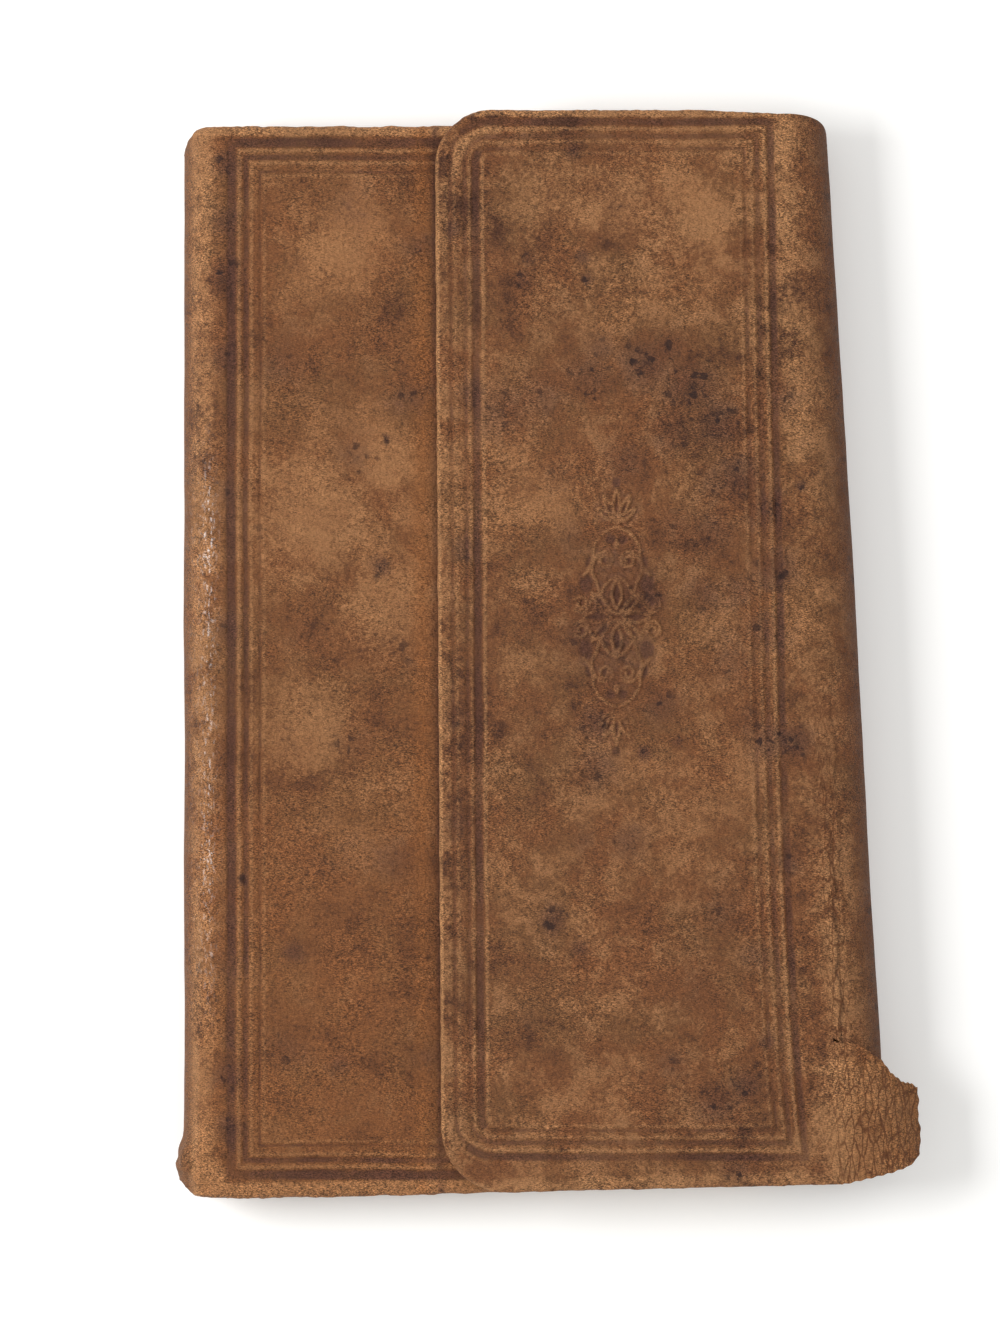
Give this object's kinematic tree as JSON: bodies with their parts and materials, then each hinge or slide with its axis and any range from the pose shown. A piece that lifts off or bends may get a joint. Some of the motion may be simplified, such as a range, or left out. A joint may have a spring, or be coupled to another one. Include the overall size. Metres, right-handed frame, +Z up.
{
  "type": "antique leather book",
  "caption": "Pocket book in a leather wallet binding, whose tooled flap comes round the fore-edge, over the front cover, and folds open in two steps.",
  "frame": {"origin": "middle of the back cover's underside, on the table", "axes": "+X from the spine to the fore-edge, +Y from the tail to the head, +Z up through the closed book to the flap"},
  "size_m": [0.1104, 0.1629, 0.0142],
  "materials": {
    "brown_leather": "worn, aged, softly polished",
    "pasteboard": "rough grey-brown board",
    "pages": "aged paper",
    "endpaper": "aged paper, foxed",
    "linen": "unbleached linen"
  },
  "bodies": {
    "book": {"case_leather": "brown_leather", "front_board": "pasteboard", "back_board": "pasteboard", "text_block": "pages", "front_endpaper": "endpaper", "back_endpaper": "endpaper", "spine_lining": "linen", "sewing_tape_head": "linen", "sewing_tape_middle": "linen", "sewing_tape_tail": "linen"},
    "fore_edge_wall": {"wall_leather": "brown_leather", "wall_lining": "endpaper"},
    "flap": {"flap_leather": "brown_leather", "flap_card": "pasteboard", "flap_lining": "endpaper"}
  },
  "joints": [
    {"name": "wall_fold", "type": "hinge", "parent": "book", "child": "fore_edge_wall", "pos_m": [0.05401, 0.0003, 0.00208], "axis": [-0.0593, 0.9982, 0], "range_deg": [0, 90]},
    {"name": "flap_fold", "type": "hinge", "parent": "fore_edge_wall", "child": "flap", "pos_m": [0.05401, 0.0003, 0.01212], "axis": [-0.0593, 0.9982, 0], "range_deg": [0, 90]}
  ]
}
